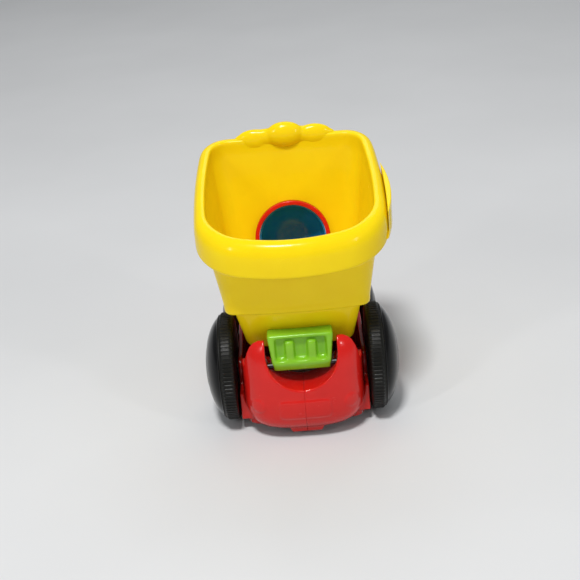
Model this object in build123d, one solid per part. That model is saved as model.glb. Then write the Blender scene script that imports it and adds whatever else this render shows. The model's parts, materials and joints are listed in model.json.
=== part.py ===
from build123d import *
import os
from math import atan2, copysign, cos, pi, radians, sin, sqrt, tan

# A chubby pull back tipper truck, in millimetres. +Y is forward, +X is to the right, +Z is up.
# The origin is on the ground, in the middle of the footprint.

# ---- wheels and axles ----
REAR_AXLE_Y = -25.0
REAR_WHEEL_R = 25.0
FRONT_AXLE_Y = 35.0
FRONT_WHEEL_R = 19.5
AXLE_R = 1.5
RUNNING_GAP = 0.06          # radial clearance of every shaft that turns in a hole
WHEEL_INNER_X = 30.5        # inner face of all four wheels
REAR_WHEEL_OUTER_X = 45.0
FRONT_WHEEL_OUTER_X = 39.5
REAR_TREAD_W = 6.8
FRONT_TREAD_W = 4.2
WHEEL_RIM_T = 3.0
WHEEL_WEB_T = 1.8
WHEEL_HUB_R = 4.2
CAP_WALL = 1.6
CAP_EASE = 4.0              # the dome's ellipse is centred this far inside the cap's mouth
CAP_HOLLOW_DEPTH = 0.79     # depth of the cap's hollow as a share of the cap's depth
AXLE_END = (1.5, 1.0)       # how far the rear and front axles reach past the wheels' inner halves

FAR = 120.0                 # longer than the truck is wide or tall, for cuts that go right through

# ---- red lower body ----
BODY_HALF_W = 29.7
BODY_WALL = 2.2
BODY_BOTTOM_Z = 6.0
BODY_FRONT_Y = 61.0
SILL_TOP_Z = 31.0
SILL_STEP_Z = 19.0          # the sills' lower part reaches further to the rear
SILL_REAR_Y = -42.5
SILL_UPPER_REAR_Y = -32.0
SILL_CORNER_R = 5.0
EMBOSS = 0.5
PLATE_HALF_W = 11.3
PLATE_Z = (12.6, 21.2)
LAMP_X = 21.2
LAMP_Z = 18.6
LAMP_R = 3.1
HOOD_REAR_Y = 17.5
HOOD_TOP_Z = 53.0
HOOD_SHOULDER_Z = 36.0
HOOD_SHOULDER_Y = 50.0      # the nose rounds forward from here
HOOD_CROWN = 2.0            # how far the bonnet's round top would rise above its side profile
SADDLE_REAR_Y = -56.5
SADDLE_SQUARENESS = 2.9     # power of the superellipse that each level of the saddle follows
SADDLE_LEVELS = (           # height, half width and rearmost y of the saddle's levels
    (4.6, 19.8, -50.8), (6.2, 22.8, -53.2), (9.5, 25.4, -55.2), (14.5, 27.0, -56.3), (22.0, 27.6, -56.5),
    (30.0, 27.5, -56.2), (38.0, 27.0, -55.0), (43.5, 25.7, -53.5), (46.8, 23.8, -52.1), (48.6, 21.4, -50.7),
)
SADDLE_FRONT_Y = -38.6
SADDLE_RELIEF_Y = -46.5     # above SADDLE_RELIEF_Z the saddle stops here, so the tipping tub clears it
SADDLE_RELIEF_Z = 36.0
NOTCH_R = 16.0
NOTCH_CENTRE_Z = 42.7
SADDLE_HOLLOW_HALF_W = 14.0
SADDLE_HOLLOW_TOP_Z = 22.5
BOSS_R = 3.4
BOSS_TALL = 12.0
REST_X = 24.5               # the two posts that the lowered hopper comes down over
REST_HALF_W = 3.1
REST_Y = (4.0, 9.0)
REST_BOTTOM_Z = 26.0
REST_GAP = 0.3
BUMPER_SIZE = (52.0, 19.0, 7.5)
BUMPER_BOTTOM_Z = 9.0
KEEL_HALF_W = 7.5
KEEL_Y = (-52.0, -46.2)
KEEL_BOTTOM_Z = 2.9
BASE_Z = (3.6, 6.0)
BASE_SIZE = (54.0, 92.5)
BASE_MIDDLE_Y = 2.75
BASE_REAR_GAP_Y = -43.8     # the saddle leaves room for the base plate in front of this

# ---- tipping hinge ----
HINGE_Y = -49.0
HINGE_Z = 36.5
HINGE_PIN_R = 1.25
HINGE_PIN_HALF = 19.5
BRACKET_TOP_Z = 51.4
BRACKET_BOTTOM_Z = 33.9
BRACKET_TOP_HALF_W = 14.8
BRACKET_BOTTOM_HALF_W = 12.8
BRACKET_REAR_Y = -51.5
BRACKET_FRONT_Y = -38.0
RECESS_DEPTH = 4.0
RECESS_Z = (39.2, 49.6)
RECESS_HALF_W = 11.3
RIB_X = 4.9
RIB_HALF_W = 1.95
RIB_DEPTH = 3.0
RIB_SHORT = 1.4             # the ribs end this far below the top of the recess
PEG_R = 1.4
PEG_Y = (-46.0, -39.2)
PEG_PLACES = ((-8.0, 46.0), (8.0, 46.0))

# ---- screws ----
SCREW_R = 0.9
SCREW_HEAD_R = 1.8
SCREW_HEAD_T = 1.2
CROSS_SLOT = (2.4, 0.5, 0.9)
BASE_SCREW_LENGTH = 10.0
MOTOR_SCREW_LENGTH = 18.0
BASE_SCREWS = ((-24.4, 33.0), (24.4, 33.0), (-24.4, -40.0), (24.4, -40.0))

# ---- yellow hopper ----
HOPPER_WALL = 2.0
TUB_BOTTOM_Z = 39.0
STEP_Z = 60.6
RIM_REAR_Y = -61.0
RIM_FRONT_Y = 27.0
RIM_WIDTHS = (41.0, 42.6, 39.8)
RIM_SIDE_W = 5.6
RIM_EDGE_R = 3.2
RIM_TOP_REAR_Z = 98.3
RIM_SLOPE = 14.04           # degrees that the rim rises towards the front
RIM_TALL = 14.0
LIP_W = 6.0
CREST_TOP_Z = 126.0
CREST_LOBES = ((-14.0, 7.4, 3.0), (0.0, 8.2, 0.0), (13.4, 7.4, 2.4))    # x, radius and drop below the top
CREST_THICK = 6.4
GRIP_Y = (-44.0, 3.0)
GRIP_TALL = 12.0
GRIP_ROOT_X = 40.4
GRIP_ROOT_DEPTH = 3.0
GRIP_CORNER_R = 4.0
GRIP_SLIT = (0.5, 14.0, 9.0)
GRIP_SLIT_Y = -10.5         # from the middle of the pad, along the slope

# Plans of the hopper: half widths at the rear, middle and front, rear y, front y, bow of the rear edge,
# and the radii of the rear and front corners.
TUB_BOTTOM = ((23.4, 23.6, 23.4), -37.4, 11.7, 2.0, 5.0, 6.0)
TUB_FLOOR = ((21.8, 22.0, 21.8), -36.1, 10.0, 2.0, 3.5, 4.5)
TUB_TOP = ((27.4, 27.7, 27.4), -45.7, 15.0, 2.2, 5.0, 6.0)
TUB_INNER_TOP = ((25.4, 25.7, 25.4), -43.6, 13.0, 2.2, 3.5, 4.5)
FOOT_OUTER = ((32.3, 32.6, 32.0), -47.3, 15.2, 2.5, 4.2, 9.0)
FOOT_INNER = ((30.3, 30.6, 30.0), -45.3, 13.2, 2.5, 3.4, 7.8)
NECK = ((35.9, 36.6, 35.2), -55.2, 21.5, 6.5, 8.5, 11.0)
RIM = (RIM_WIDTHS, RIM_REAR_Y, RIM_FRONT_Y, 10.0, 15.0, 11.5)
MOUTH_WIDTHS = [half_w - RIM_SIDE_W for half_w in RIM_WIDTHS]
MOUTH = (MOUTH_WIDTHS, RIM_REAR_Y + LIP_W, RIM_FRONT_Y - LIP_W, 9.0, 12.0, 7.0)

# ---- round window in the hopper's front wall ----
WINDOW_Y = 14.3
WINDOW_Z = 71.0
WINDOW_TILT = 8.4           # degrees that the front wall leans forward
RING_OUTER_R = 18.0
RING_INNER_R = 16.0
RING_PROUD = 2.5            # how far the bezel stands into the hopper
RING_BACK = 4.4             # and out of the front of the wall, flange included
FLANGE_W = 2.2
FLANGE_T = 1.6
WINDOW_CUT = 14.0           # long enough to go through the slanted wall
BOWL_R = 15.9
BOWL_RECESS = 1.5           # the bowl's mouth lies this far inside the bezel's face
BOWL_WALL = 1.3

# ---- pull back motor ----
MODULE = 0.75
PRESSURE_ANGLE = 20.0
PINION_TEETH = 12
IDLER_TEETH = 24
SPRING_TEETH = 28
ADDENDUM = 0.8              # in modules
DEDENDUM = 1.15
TOOTH_PLAY = 0.16           # taken off each tooth's thickness at the pitch circle
GEAR_W = 3.2
AXLE_HUB = (3.0, 2.5)       # radius and length of the hub beside the axle's pinion
IDLER_PINION_W = 5.4
IDLER_ANGLE = -10.0         # direction from the axle to the idler, in degrees above +Y
SPRING_ANGLE = 0.0          # direction from the idler to the spring's arbor
MOTOR_HALF_W = 13.0
MOTOR_WALL = 1.4
MOTOR_REAR_Y = -33.5
MOTOR_FRONT_Y = 16.4
MOTOR_Z = (9.4, 36.8)
MOTOR_SCREW_YZ = ((-29.8, 33.0), (-29.8, 13.1), (13.2, 12.2))
MOTOR_POST_R = 2.6
MOTOR_CORNER_R = 3.0
MOTOR_FEET_Y = ((-28.0, -20.0), (4.0, 12.0))
MOTOR_FOOT_HALF_W = 11.0
AXLE_GEAR_X = -8.0
SPRING_GEAR_X = -3.0
MAINSPRING_X = (3.0, 9.0)
MAINSPRING_THICK = 0.3
MAINSPRING_PITCH = 1.1
MAINSPRING_HALF_TURNS = 13
MAINSPRING_INNER_R = 2.6
IDLER_SHAFT_R = 1.0
ARBOR_R = 1.5


def along_x(x0, x1, radius, y, z):
    """A round bar along X."""
    bar = Cylinder(radius, x1 - x0, align=(Align.CENTER, Align.CENTER, Align.MIN))
    return Pos(x0, y, z) * Rot(0, 90, 0) * bar


def block(x0, x1, y0, y1, z0, z1):
    return Pos((x0 + x1) / 2, (y0 + y1) / 2, (z0 + z1) / 2) * Box(x1 - x0, y1 - y0, z1 - z0)


def wheel_place(side, axle_y, axle_z):
    """Turns a part made around +X at the origin onto one end of an axle."""
    turn = Rot(0, 0, 0) if side > 0 else Rot(0, 0, 180)
    return Pos(0, axle_y, axle_z) * turn


def revolve_about_x(points):
    """Revolves a closed outline of (x, radius) points about the X axis."""
    face = make_face(Polyline(*[(x, r) for x, r in points], close=True))
    return revolve(face, Axis.X, 360)


def wheel_disc(radius, width):
    """The ribbed inner half of a wheel: a tread band on a web with a hub."""
    x0 = WHEEL_INNER_X
    x1 = x0 + width
    outline = [
        (x0, AXLE_R), (x0, radius - 1.6), (x0 + 0.6, radius - 0.4), (x0 + 1.4, radius),
        (x1 - 2.2, radius), (x1 - 0.8, radius - 0.4), (x1, radius - 1.0),
        (x1, radius - WHEEL_RIM_T), (x0 + WHEEL_WEB_T, radius - WHEEL_RIM_T),
        (x0 + WHEEL_WEB_T, WHEEL_HUB_R), (x1, WHEEL_HUB_R), (x1, AXLE_R),
    ]
    return revolve_about_x(outline)


def cap_radius(x, inner_x, outer_x, radius):
    """The domed cap's outer radius at x: a quarter of an ellipse."""
    start = inner_x - CAP_EASE
    return radius * sqrt(max(0.0, 1.0 - ((x - start) / (outer_x - start)) ** 2))


def wheel_cap(radius, width, outer_x):
    """The smooth domed outer half of a wheel, a shell with a flange round its mouth."""
    inner_x = WHEEL_INNER_X + width
    steps = 12
    tangents = ((0.45, -0.30), (0.0, -1.0))
    outer = []
    for step in range(steps + 1):
        x = inner_x + (outer_x - inner_x) * sin(step / steps * pi / 2)
        outer.append((x, cap_radius(x, inner_x, outer_x, radius)))
    outer[-1] = (outer_x, 0.0)
    shell = Spline(*outer, tangents=tangents)
    scale_in = (outer[0][1] - CAP_WALL) / outer[0][1]
    inner = [(inner_x + (x - inner_x) * CAP_HOLLOW_DEPTH, r * scale_in) for x, r in outer]
    hollow = Spline(*inner, tangents=tangents)
    edges = [
        shell,
        Line(shell @ 1, hollow @ 1),
        hollow,
        Line(hollow @ 0, shell @ 0),
    ]
    return revolve(make_face(Wire(edges)), Axis.X, 360)


def plan_outline(widths, y_rear, y_front, bow, r_rear, r_front):
    """Closed plan outline with a bowed rear edge and rounded corners; widths are rear, middle and front."""
    rear_w, mid_w, front_w = widths
    rear_corner_y = y_rear + bow
    mid_y = (rear_corner_y + y_front) / 2
    outline = make_face([
        ThreePointArc((-rear_w, rear_corner_y), (0, y_rear), (rear_w, rear_corner_y)),
        ThreePointArc((rear_w, rear_corner_y), (mid_w, mid_y), (front_w, y_front)),
        Line((front_w, y_front), (-front_w, y_front)),
        ThreePointArc((-front_w, y_front), (-mid_w, mid_y), (-rear_w, rear_corner_y)),
    ])
    rear = outline.vertices().filter_by(lambda v: v.Y < (y_rear + y_front) / 2)
    outline = fillet(rear, r_rear)
    front = outline.vertices().filter_by(lambda v: v.Y > y_front - 0.01)
    return fillet(front, r_front)


def on_slope(face, z_at_rear):
    """Lifts a flat plan face onto a plane that rises to the front; its y stays a plan distance."""
    plane = Plane(origin=(0, RIM_REAR_Y, z_at_rear), x_dir=(1, 0, 0),
                  z_dir=(0, -sin(radians(RIM_SLOPE)), cos(radians(RIM_SLOPE))))
    stretch = 1.0 / cos(radians(RIM_SLOPE))
    return plane * (Pos(0, -RIM_REAR_Y * stretch, 0) * scale(face, by=(1, stretch, 1)))


def rim_z(y, above_rear):
    """Height of the rim's sloping plane at y."""
    return above_rear + (y - RIM_REAR_Y) * tan(radians(RIM_SLOPE))


def rim_solid():
    """The thick rolled rim before the mouth is cut through it."""
    bottom = on_slope(plan_outline(*RIM), RIM_TOP_REAR_Z - RIM_TALL)
    top = on_slope(plan_outline(*RIM), RIM_TOP_REAR_Z)
    return fillet(loft([bottom, top], ruled=True).edges(), RIM_EDGE_R)


def hopper_shell():
    """The upper hopper: converging walls, a thick rolled rim and three rounded lobes at the front."""
    foot_outer = Pos(0, 0, STEP_Z) * plan_outline(*FOOT_OUTER)
    foot_inner = Pos(0, 0, STEP_Z + HOPPER_WALL) * plan_outline(*FOOT_INNER)
    neck_outer = on_slope(plan_outline(*NECK), RIM_TOP_REAR_Z - RIM_TALL)
    mouth = on_slope(plan_outline(*MOUTH), RIM_TOP_REAR_Z)
    above = on_slope(plan_outline(*MOUTH), RIM_TOP_REAR_Z + 20)
    walls = loft([foot_outer, neck_outer], ruled=True)
    body = walls + rim_solid() + crest()
    cavity = loft([foot_inner, mouth], ruled=True)
    well = extrude(Pos(0, 0, STEP_Z - 1) * plan_outline(*TUB_INNER_TOP), HOPPER_WALL + 2)
    body = body - cavity - loft([mouth, above], ruled=True) - well
    return body - window_place(Cylinder(RING_OUTER_R, WINDOW_CUT))


def crest():
    """Three merged rounded lobes that stand on the front rim."""
    lobes = None
    for x, radius, drop in CREST_LOBES:
        place = Pos(x, RIM_FRONT_Y - CREST_THICK / 2 - 0.2, CREST_TOP_Z - drop - radius)
        lobe = place * Rot(90, 0, 0) * Cylinder(radius, CREST_THICK)
        lobe = fillet(lobe.edges(), 2.6)
        lobes = lobe if lobes is None else lobes + lobe
    return lobes


def window_place(thing):
    """Turns a part made around +Z, with +Z pointing into the hopper, onto the front wall."""
    return Pos(0, WINDOW_Y, WINDOW_Z) * Rot(90 - WINDOW_TILT, 0, 0) * thing


def hopper_tub():
    """The narrow lower part of the hopper, which hangs between the wheels."""
    bottom = Pos(0, 0, TUB_BOTTOM_Z) * plan_outline(*TUB_BOTTOM)
    top = Pos(0, 0, STEP_Z) * plan_outline(*TUB_TOP)
    inner_bottom = Pos(0, 0, TUB_BOTTOM_Z + HOPPER_WALL) * plan_outline(*TUB_FLOOR)
    inner_top = Pos(0, 0, STEP_Z) * plan_outline(*TUB_INNER_TOP)
    tub = loft([bottom, top], ruled=True) - loft([inner_bottom, inner_top], ruled=True)
    return tub - window_place(Cylinder(RING_OUTER_R, WINDOW_CUT)) - bracket_pegs()


def side_grip():
    """The bowed grip pad on the right side of the rim, with a lengthwise slit in its rear half."""
    y0, y1 = GRIP_Y
    middle = (y0 + y1) / 2
    root = GRIP_ROOT_X - GRIP_ROOT_DEPTH
    plan = make_face([
        ThreePointArc((GRIP_ROOT_X, y0), (REAR_WHEEL_OUTER_X, middle), (GRIP_ROOT_X, y1)),
        Line((GRIP_ROOT_X, y1), (root, y1)),
        Line((root, y1), (root, y0)),
        Line((root, y0), (GRIP_ROOT_X, y0)),
    ])
    pad = Pos(0, 0, rim_z(middle, RIM_TOP_REAR_Z)) * extrude(plan, 30, both=True)
    lean = Pos(0, middle, rim_z(middle, RIM_TOP_REAR_Z - RIM_TALL / 2 - 1.0)) * Rot(RIM_SLOPE, 0, 0)
    band = Box(20, (y1 - y0) / cos(radians(RIM_SLOPE)), GRIP_TALL)
    band = fillet(band.edges().filter_by(Axis.X), GRIP_CORNER_R)
    pad = pad & (lean * Pos(GRIP_ROOT_X, 0, 0) * band)
    slit = lean * Pos(REAR_WHEEL_OUTER_X - 1.9, GRIP_SLIT_Y, 0) * Box(*GRIP_SLIT)
    pad = pad - slit - rim_solid()
    return pad.solids().sort_by(SortBy.VOLUME)[-1]


def window_ring():
    """Red bezel: a tube through the front wall with a flange on its outer side."""
    tube_length = RING_PROUD + RING_BACK
    tube = Pos(0, 0, (RING_PROUD - RING_BACK) / 2) * Cylinder(RING_OUTER_R, tube_length)
    flange = Pos(0, 0, -RING_BACK + FLANGE_T / 2) * Cylinder(RING_OUTER_R + FLANGE_W, FLANGE_T)
    hole = Cylinder(RING_INNER_R, FAR)
    return window_place(tube + flange - hole)


def window_bowl():
    """Blue half-round bubble that bulges forward, seen hollow from the hopper."""
    mouth = RING_PROUD - BOWL_RECESS
    outer = Pos(0, 0, mouth) * Sphere(BOWL_R)
    inner = Pos(0, 0, mouth) * Sphere(BOWL_R - BOWL_WALL)
    keep = Pos(0, 0, mouth - BOWL_R) * Cylinder(2 * BOWL_R, 2 * BOWL_R)
    return window_place((outer - inner) & keep)


def hinge_bracket(tub):
    """Green bracket on the hopper's rear, with two ribs in its recess, that turns on the hinge pin."""
    side = [
        (BRACKET_REAR_Y, HINGE_Z + 1.5),
        (BRACKET_REAR_Y + 2.0, BRACKET_TOP_Z),
        (BRACKET_FRONT_Y, BRACKET_TOP_Z),
        (BRACKET_FRONT_Y, BRACKET_TOP_Z - 7.0),
        (HINGE_Y + 3.0, BRACKET_BOTTOM_Z + 1.6),
        (HINGE_Y + 1.8, BRACKET_BOTTOM_Z),
        (HINGE_Y - 1.2, BRACKET_BOTTOM_Z),
    ]
    side_face = make_face(Polyline(*[(y, z) for y, z in side], close=True))
    slab = extrude(Plane.YZ * side_face, 2 * BRACKET_TOP_HALF_W, both=True)
    front_view = make_face(Polyline(
        (-BRACKET_BOTTOM_HALF_W, BRACKET_BOTTOM_Z), (BRACKET_BOTTOM_HALF_W, BRACKET_BOTTOM_Z),
        (BRACKET_TOP_HALF_W, BRACKET_TOP_Z), (-BRACKET_TOP_HALF_W, BRACKET_TOP_Z), close=True))
    taper = extrude(Plane.XZ * front_view, FAR, both=True)
    bracket = slab & taper
    floor_y = BRACKET_REAR_Y + RECESS_DEPTH
    recess = block(-RECESS_HALF_W, RECESS_HALF_W, BRACKET_REAR_Y - 4, floor_y, *RECESS_Z)
    for x in (-RIB_X, RIB_X):
        recess = recess - block(x - RIB_HALF_W, x + RIB_HALF_W, floor_y - RIB_DEPTH, floor_y + 1,
                                RECESS_Z[0] - 1, RECESS_Z[1] - RIB_SHORT)
    bracket = bracket - recess - tub + bracket_pegs()
    bracket = bracket - along_x(-20, 20, HINGE_PIN_R + RUNNING_GAP, HINGE_Y, HINGE_Z)
    return bracket.solids().sort_by(SortBy.VOLUME)[-1]


def screw(length, slotted):
    """A small screw along +Z, the underside of its head at z = 0; a plain one makes the holes."""
    head = Pos(0, 0, -SCREW_HEAD_T / 2) * Cylinder(SCREW_HEAD_R, SCREW_HEAD_T)
    shank = Pos(0, 0, length / 2) * Cylinder(SCREW_R, length)
    if not slotted:
        return head + shank
    long, thin, deep = CROSS_SLOT
    cross = Box(long, thin, deep) + Box(thin, long, deep)
    return head + shank - Pos(0, 0, -SCREW_HEAD_T) * cross


def base_screws(slotted=False):
    """Screws driven up through the base plate into the body."""
    head_z = BASE_Z[0] + SCREW_HEAD_T
    return [Pos(x, y, head_z) * screw(BASE_SCREW_LENGTH, slotted) for x, y in BASE_SCREWS]


def bracket_pegs():
    """Pegs moulded on the bracket that are pressed into the tub's rear wall."""
    length = PEG_Y[1] - PEG_Y[0]
    middle = (PEG_Y[0] + PEG_Y[1]) / 2
    return [Pos(x, middle, z) * Rot(90, 0, 0) * Cylinder(PEG_R, length) for x, z in PEG_PLACES]


def motor_screws(slotted=False):
    """Screws driven sideways that hold the two halves of the motor case together."""
    head_x = MOTOR_HALF_W - SCREW_HEAD_T
    turned = Rot(0, -90, 0) * screw(MOTOR_SCREW_LENGTH, slotted)
    return [Pos(head_x, y, z) * turned for y, z in MOTOR_SCREW_YZ]


def saddle_level(height, half_w, y_rear):
    """One level of the saddle: a superellipse at the rear, closed by a straight line at the front."""
    steps = 8
    power = 2 / SADDLE_SQUARENESS
    points = []
    for step in range(-steps, steps + 1):
        angle = step / steps * pi / 2
        x = half_w * copysign(abs(sin(angle)) ** power, angle)
        reach = abs(cos(angle)) ** power if abs(step) < steps else 0.0
        points.append((x, SADDLE_FRONT_Y - (SADDLE_FRONT_Y - y_rear) * reach))
    return Pos(0, 0, height) * make_face([Spline(*points), Line(points[-1], points[0])])


def saddle():
    """The rear of the red body: a puffy apron with two shoulders and a round notch between them."""
    shape = loft([saddle_level(*level) for level in SADDLE_LEVELS])
    shape = shape + embossed(shape)
    notch = Pos(0, 0, NOTCH_CENTRE_Z) * Rot(90, 0, 0) * Cylinder(NOTCH_R, 2 * FAR)
    notch = notch + block(-NOTCH_R, NOTCH_R, -FAR, FAR, NOTCH_CENTRE_Z, FAR)
    hollow = block(-SADDLE_HOLLOW_HALF_W, SADDLE_HOLLOW_HALF_W, SADDLE_REAR_Y + 10.5, SADDLE_FRONT_Y + 5,
                   -1, SADDLE_HOLLOW_TOP_Z)
    relief = block(-FAR, FAR, SADDLE_RELIEF_Y, 0, SADDLE_RELIEF_Z, FAR)
    plate_room = block(-FAR, FAR, BASE_REAR_GAP_Y, 0, -1, BASE_Z[1])
    return shape - notch - hollow - relief - plate_room


def embossed(shape):
    """The raised plate and two lamps on the apron: the apron's own surface, stood proud."""
    plate = block(-PLATE_HALF_W, PLATE_HALF_W, SADDLE_REAR_Y - 5, SADDLE_REAR_Y + 7, *PLATE_Z)
    plate = fillet(plate.edges().filter_by(Axis.Y), 1.2)
    proud = (Pos(0, -EMBOSS, 0) * shape) & plate
    for sign in (-1, 1):
        lamp = Pos(sign * LAMP_X, SADDLE_REAR_Y + 4, LAMP_Z) * Rot(90, 0, 0) * Cylinder(LAMP_R, 12)
        proud = proud + ((Pos(0, -EMBOSS, 0) * shape) & lamp)
    return proud


def hood_profile(inset):
    """Side view of the bonnet over the front wheels; inset makes the hollow inside it."""
    rear, front = HOOD_REAR_Y + inset, BODY_FRONT_Y - inset
    top, bottom = HOOD_TOP_Z - inset, BODY_BOTTOM_Z - (1 if inset else 0)
    return make_face([
        Line((rear, bottom), (rear, top - 3.0)),
        ThreePointArc((rear, top - 3.0), (rear + 0.9, top - 0.9), (rear + 3.0, top)),
        ThreePointArc((rear + 3.0, top), ((rear + front) / 2, top - 0.4), (front - 13.0, top - 4.5)),
        ThreePointArc((front - 13.0, top - 4.5), (front - 4.0, top - 11.0), (front, 30.0)),
        ThreePointArc((front, 30.0), (front, 18.0), (front - 2.2, bottom)),
        Line((front - 2.2, bottom), (rear, bottom)),
    ])


def hood():
    """Rounded bonnet: the side profile crossed with a round-shouldered front view."""
    def layer(inset):
        half_w = BODY_HALF_W - inset
        top = HOOD_TOP_Z + HOOD_CROWN - inset
        bottom = BODY_BOTTOM_Z - (1 if inset else 0)
        front_view = make_face([
            Line((-half_w, bottom), (half_w, bottom)),
            Line((half_w, bottom), (half_w, HOOD_SHOULDER_Z)),
            ThreePointArc((half_w, HOOD_SHOULDER_Z), (0, top), (-half_w, HOOD_SHOULDER_Z)),
            Line((-half_w, HOOD_SHOULDER_Z), (-half_w, bottom)),
        ])
        rear_y, nose_y = HOOD_REAR_Y + inset, HOOD_SHOULDER_Y - inset
        plan = make_face([
            Line((-half_w, rear_y), (half_w, rear_y)),
            Line((half_w, rear_y), (half_w, nose_y)),
            ThreePointArc((half_w, nose_y), (0, BODY_FRONT_Y - inset), (-half_w, nose_y)),
            Line((-half_w, nose_y), (-half_w, rear_y)),
        ])
        solid = extrude(Plane.YZ * hood_profile(inset), FAR, both=True)
        solid = solid & extrude(Plane.XZ * front_view, FAR, both=True)
        return solid & extrude(plan, FAR)
    return layer(0) - layer(BODY_WALL)


def body_bosses():
    """Posts inside the red body that the base plate's screws bite into."""
    posts = None
    for x, y in BASE_SCREWS:
        post = Cylinder(BOSS_R, BOSS_TALL, align=(Align.CENTER, Align.CENTER, Align.MIN))
        post = Pos(x, y, BASE_Z[1]) * post
        posts = post if posts is None else posts + post
    return posts


def sills():
    """The side walls of the red body, lower and longer at the foot, and the hopper's two rests."""
    inner_w = BODY_HALF_W - BODY_WALL
    low = block(-BODY_HALF_W, BODY_HALF_W, SILL_REAR_Y, HOOD_REAR_Y + 2, BODY_BOTTOM_Z, SILL_STEP_Z)
    high = block(-BODY_HALF_W, BODY_HALF_W, SILL_UPPER_REAR_Y, HOOD_REAR_Y + 2, BODY_BOTTOM_Z, SILL_TOP_Z)
    high = fillet(high.edges().filter_by(Axis.X).filter_by(lambda e: e.center().Z > 30), SILL_CORNER_R)
    well = block(-inner_w, inner_w, SADDLE_FRONT_Y, HOOD_REAR_Y, -1, FAR)
    walls = low + high - well
    for x in (-REST_X, REST_X):
        walls = walls + block(x - REST_HALF_W, x + REST_HALF_W, *REST_Y,
                              REST_BOTTOM_Z, TUB_BOTTOM_Z - REST_GAP)
    return walls


def lower_body():
    """The whole red lower body, before it is split down its middle seam."""
    body = sills() + saddle() + hood() + body_bosses() + front_details()
    body = body - along_x(-FAR, FAR, AXLE_R + RUNNING_GAP, REAR_AXLE_Y, REAR_WHEEL_R)
    body = body - along_x(-FAR, FAR, AXLE_R + RUNNING_GAP, FRONT_AXLE_Y, FRONT_WHEEL_R)
    body = body - along_x(-HINGE_PIN_HALF, HINGE_PIN_HALF, HINGE_PIN_R, HINGE_Y, HINGE_Z)
    return body - base_screws()


def front_details():
    """Bumper bar and grille surround moulded with the bonnet, and the keel under the apron."""
    wide, deep, tall = BUMPER_SIZE
    place = Pos(0, BODY_FRONT_Y - deep / 2, BUMPER_BOTTOM_Z)
    bumper = extrude(place * RectangleRounded(wide, deep, 8.0), tall)
    levels = bumper.faces().sort_by(Axis.Z)
    bumper = fillet(levels[0].edges() + levels[-1].edges(), 2.0)
    bumper = bumper & block(-wide, wide, BODY_FRONT_Y - 9.0, BODY_FRONT_Y, 0, FAR)
    keel = block(-KEEL_HALF_W, KEEL_HALF_W, *KEEL_Y, KEEL_BOTTOM_Z, BODY_BOTTOM_Z + 1.0)
    keel = fillet(keel.edges().filter_by(Axis.Y).filter_by(lambda e: e.center().Z < 4), 1.5)
    return [bumper, keel]


def half_of(solid, side):
    """One half of the body, left of the middle seam for side -1, right of it for side 1."""
    return solid & block(min(0, side * FAR), max(0, side * FAR), -FAR, FAR, -FAR, FAR)


def base_plate():
    """Flat underside of the truck, screwed up against the two body halves."""
    plan = Pos(0, BASE_MIDDLE_Y, BASE_Z[0]) * RectangleRounded(*BASE_SIZE, 6.0)
    return extrude(plan, BASE_Z[1] - BASE_Z[0]) - base_screws()


def motor_case():
    """Box of the pull back motor, before it is split into its two halves."""
    outer = block(-MOTOR_HALF_W, MOTOR_HALF_W, MOTOR_REAR_Y, MOTOR_FRONT_Y, *MOTOR_Z)
    outer = fillet(outer.edges().filter_by(Axis.X), MOTOR_CORNER_R)
    wall = MOTOR_WALL
    inner = block(-MOTOR_HALF_W + wall, MOTOR_HALF_W - wall, MOTOR_REAR_Y + wall, MOTOR_FRONT_Y - wall,
                  MOTOR_Z[0] + wall, MOTOR_Z[1] - wall)
    case = outer - inner
    for y, z in MOTOR_SCREW_YZ:
        case = case + along_x(-MOTOR_HALF_W + wall, MOTOR_HALF_W - wall, MOTOR_POST_R, y, z)
    for y0, y1 in MOTOR_FEET_Y:
        case = case + block(-MOTOR_FOOT_HALF_W, MOTOR_FOOT_HALF_W, y0, y1, BASE_Z[1], MOTOR_Z[0])
    case = case - motor_screws()
    case = case - along_x(-FAR, FAR, AXLE_R + RUNNING_GAP, REAR_AXLE_Y, REAR_WHEEL_R)
    case = case - along_x(-FAR, FAR, ARBOR_R + RUNNING_GAP, *arbor_place())
    return case - along_x(-FAR, FAR, IDLER_SHAFT_R, *idler_place())


def idler_place():
    """y and z of the idler's shaft."""
    reach = MODULE * (PINION_TEETH + IDLER_TEETH) / 2
    angle = radians(IDLER_ANGLE)
    return (REAR_AXLE_Y + reach * cos(angle), REAR_WHEEL_R + reach * sin(angle))


def arbor_place():
    """y and z of the mainspring's arbor."""
    reach = MODULE * (PINION_TEETH + SPRING_TEETH) / 2
    y, z = idler_place()
    return (y + reach * cos(radians(SPRING_ANGLE)), z + reach * sin(radians(SPRING_ANGLE)))


def gear(teeth, tooth_angle):
    """A flat involute spur gear outline with the middle of one tooth at tooth_angle degrees."""
    pitch_r = MODULE * teeth / 2
    base_r = pitch_r * cos(radians(PRESSURE_ANGLE))
    tip_r = pitch_r + ADDENDUM * MODULE
    root_r = pitch_r - DEDENDUM * MODULE
    half_at_pitch = pi / (2 * teeth) - TOOTH_PLAY / (2 * pitch_r)
    involute_at_pitch = tan(radians(PRESSURE_ANGLE)) - radians(PRESSURE_ANGLE)

    def half_angle(radius):
        roll = sqrt(max(0.0, (radius / base_r) ** 2 - 1))
        return half_at_pitch + involute_at_pitch - (roll - atan2(roll, 1))

    start_r = max(base_r, root_r)
    radii = [start_r + (tip_r - start_r) * step / 4 for step in range(5)]
    flank = [(root_r, half_angle(start_r))] if root_r < base_r else []
    flank += [(radius, half_angle(radius)) for radius in radii]
    points = []
    for tooth in range(teeth):
        middle = radians(tooth_angle) + 2 * pi * tooth / teeth
        rising = [(r, middle - half) for r, half in flank]
        falling = [(r, middle + half) for r, half in reversed(flank)]
        points += [(r * cos(angle), r * sin(angle)) for r, angle in rising + falling]
    return make_face(Polyline(*points, close=True))


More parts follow.
